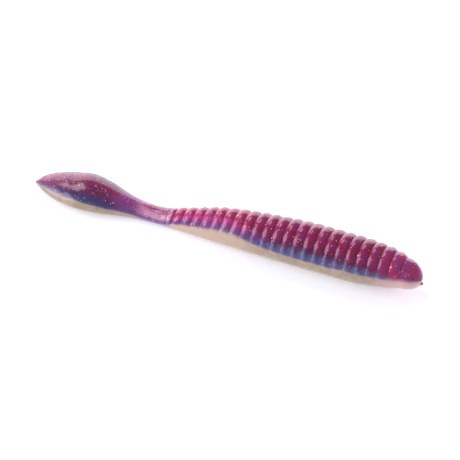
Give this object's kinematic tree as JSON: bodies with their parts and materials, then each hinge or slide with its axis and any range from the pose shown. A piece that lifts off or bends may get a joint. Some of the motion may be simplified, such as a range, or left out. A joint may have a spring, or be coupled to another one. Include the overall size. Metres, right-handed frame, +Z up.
{
  "type": "soft plastic worm",
  "caption": "Ribbed soft plastic worm with a slim neck and a leaf-shaped tail, moulded in three layers, flexing at its grooves to both sides and upwards.",
  "frame": {"origin": "middle of the worm's length, on the surface that its belly rests on", "axes": "+X along the worm towards the nose, +Y to the worm's left, +Z up from the belly"},
  "size_m": [0.1156, 0.014, 0.0126],
  "materials": {
    "belly_plastisol": "smooth glossy opaque cream plastisol",
    "flank_plastisol": "smooth glossy blue plastisol",
    "back_plastisol": "glossy translucent magenta plastisol",
    "red_glitter": "metallised polyester flake",
    "silver_glitter": "metallised polyester flake"
  },
  "bodies": {
    "head": {"head_belly": "belly_plastisol", "head_flank": "flank_plastisol", "head_back": "back_plastisol", "head_glitter": "red_glitter"},
    "ribs_05_06": {"ribs_05_06_belly": "belly_plastisol", "ribs_05_06_flank": "flank_plastisol", "ribs_05_06_back": "back_plastisol", "ribs_05_06_glitter": "silver_glitter"},
    "ribs_07_08": {"ribs_07_08_belly": "belly_plastisol", "ribs_07_08_flank": "flank_plastisol", "ribs_07_08_back": "back_plastisol", "ribs_07_08_glitter": "red_glitter"},
    "ribs_09_10": {"ribs_09_10_belly": "belly_plastisol", "ribs_09_10_flank": "flank_plastisol", "ribs_09_10_back": "back_plastisol", "ribs_09_10_glitter": "silver_glitter"},
    "ribs_11_12": {"ribs_11_12_belly": "belly_plastisol", "ribs_11_12_flank": "flank_plastisol", "ribs_11_12_back": "back_plastisol", "ribs_11_12_glitter": "red_glitter"},
    "ribs_13_14": {"ribs_13_14_belly": "belly_plastisol", "ribs_13_14_flank": "flank_plastisol", "ribs_13_14_back": "back_plastisol", "ribs_13_14_glitter": "silver_glitter"},
    "ribs_15_16": {"ribs_15_16_belly": "belly_plastisol", "ribs_15_16_flank": "flank_plastisol", "ribs_15_16_back": "back_plastisol", "ribs_15_16_glitter": "red_glitter"},
    "ribs_17_18": {"ribs_17_18_belly": "belly_plastisol", "ribs_17_18_flank": "flank_plastisol", "ribs_17_18_back": "back_plastisol", "ribs_17_18_glitter": "silver_glitter"},
    "ribs_19_20": {"ribs_19_20_belly": "belly_plastisol", "ribs_19_20_flank": "flank_plastisol", "ribs_19_20_back": "back_plastisol", "ribs_19_20_glitter": "red_glitter"},
    "ribs_21_22": {"ribs_21_22_belly": "belly_plastisol", "ribs_21_22_flank": "flank_plastisol", "ribs_21_22_back": "back_plastisol", "ribs_21_22_glitter": "silver_glitter"},
    "neck_1": {"neck_1_belly": "belly_plastisol", "neck_1_flank": "flank_plastisol", "neck_1_back": "back_plastisol", "neck_1_glitter": "red_glitter"},
    "neck_2": {"neck_2_belly": "belly_plastisol", "neck_2_flank": "flank_plastisol", "neck_2_back": "back_plastisol", "neck_2_glitter": "silver_glitter"},
    "neck_3": {"neck_3_belly": "belly_plastisol", "neck_3_flank": "flank_plastisol", "neck_3_back": "back_plastisol", "neck_3_glitter": "red_glitter"},
    "tail": {"tail_belly": "belly_plastisol", "tail_flank": "flank_plastisol", "tail_back": "back_plastisol", "tail_glitter": "silver_glitter"}
  },
  "joints": [
    {"name": "groove_04_side", "type": "hinge", "parent": "head", "child": "ribs_05_06", "pos_m": [0.04002, 0, 0.00617], "axis": [0, 0, 1], "range_deg": [-15, 15], "stiffness_Nm_per_rad": 0.019},
    {"name": "groove_06_lift", "type": "hinge", "parent": "ribs_05_06", "child": "ribs_07_08", "pos_m": [0.03392, 0, 0.00615], "axis": [0, 1, 0], "range_deg": [0, 12], "stiffness_Nm_per_rad": 0.018},
    {"name": "groove_08_side", "type": "hinge", "parent": "ribs_07_08", "child": "ribs_09_10", "pos_m": [0.02782, 0, 0.00615], "axis": [0, 0, 1], "range_deg": [-15, 15], "stiffness_Nm_per_rad": 0.019},
    {"name": "groove_10_lift", "type": "hinge", "parent": "ribs_09_10", "child": "ribs_11_12", "pos_m": [0.02172, 0, 0.00613], "axis": [0, 1, 0], "range_deg": [0, 12], "stiffness_Nm_per_rad": 0.018},
    {"name": "groove_12_side", "type": "hinge", "parent": "ribs_11_12", "child": "ribs_13_14", "pos_m": [0.01562, 0, 0.00591], "axis": [0, 0, 1], "range_deg": [-15, 15], "stiffness_Nm_per_rad": 0.016},
    {"name": "groove_14_lift", "type": "hinge", "parent": "ribs_13_14", "child": "ribs_15_16", "pos_m": [0.00952, 0, 0.00553], "axis": [0, 1, 0], "range_deg": [0, 12], "stiffness_Nm_per_rad": 0.012},
    {"name": "groove_16_side", "type": "hinge", "parent": "ribs_15_16", "child": "ribs_17_18", "pos_m": [0.00342, 0, 0.00507], "axis": [0, 0, 1], "range_deg": [-15, 15], "stiffness_Nm_per_rad": 0.0091},
    {"name": "groove_18_lift", "type": "hinge", "parent": "ribs_17_18", "child": "ribs_19_20", "pos_m": [-0.00268, 0, 0.00428], "axis": [0, 1, 0], "range_deg": [0, 12], "stiffness_Nm_per_rad": 0.0044},
    {"name": "groove_20_side", "type": "hinge", "parent": "ribs_19_20", "child": "ribs_21_22", "pos_m": [-0.00878, 0, 0.00333], "axis": [0, 0, 1], "range_deg": [-15, 15], "stiffness_Nm_per_rad": 0.0023},
    {"name": "groove_22_lift", "type": "hinge", "parent": "ribs_21_22", "child": "neck_1", "pos_m": [-0.01488, 0, 0.0024], "axis": [0, 1, 0], "range_deg": [0, 22], "stiffness_Nm_per_rad": 0.00047},
    {"name": "neck_front_side", "type": "hinge", "parent": "neck_1", "child": "neck_2", "pos_m": [-0.02051, 0, 0.0017], "axis": [0, 0, 1], "range_deg": [-28, 28], "stiffness_Nm_per_rad": 0.00072},
    {"name": "neck_rear_lift", "type": "hinge", "parent": "neck_2", "child": "neck_3", "pos_m": [-0.02615, 0, 0.00181], "axis": [0, 1, 0], "range_deg": [0, 22], "stiffness_Nm_per_rad": 0.00046},
    {"name": "tail_side", "type": "hinge", "parent": "neck_3", "child": "tail", "pos_m": [-0.03178, 0, 0.00219], "axis": [0, 0, 1], "range_deg": [-28, 28], "stiffness_Nm_per_rad": 0.0032}
  ]
}
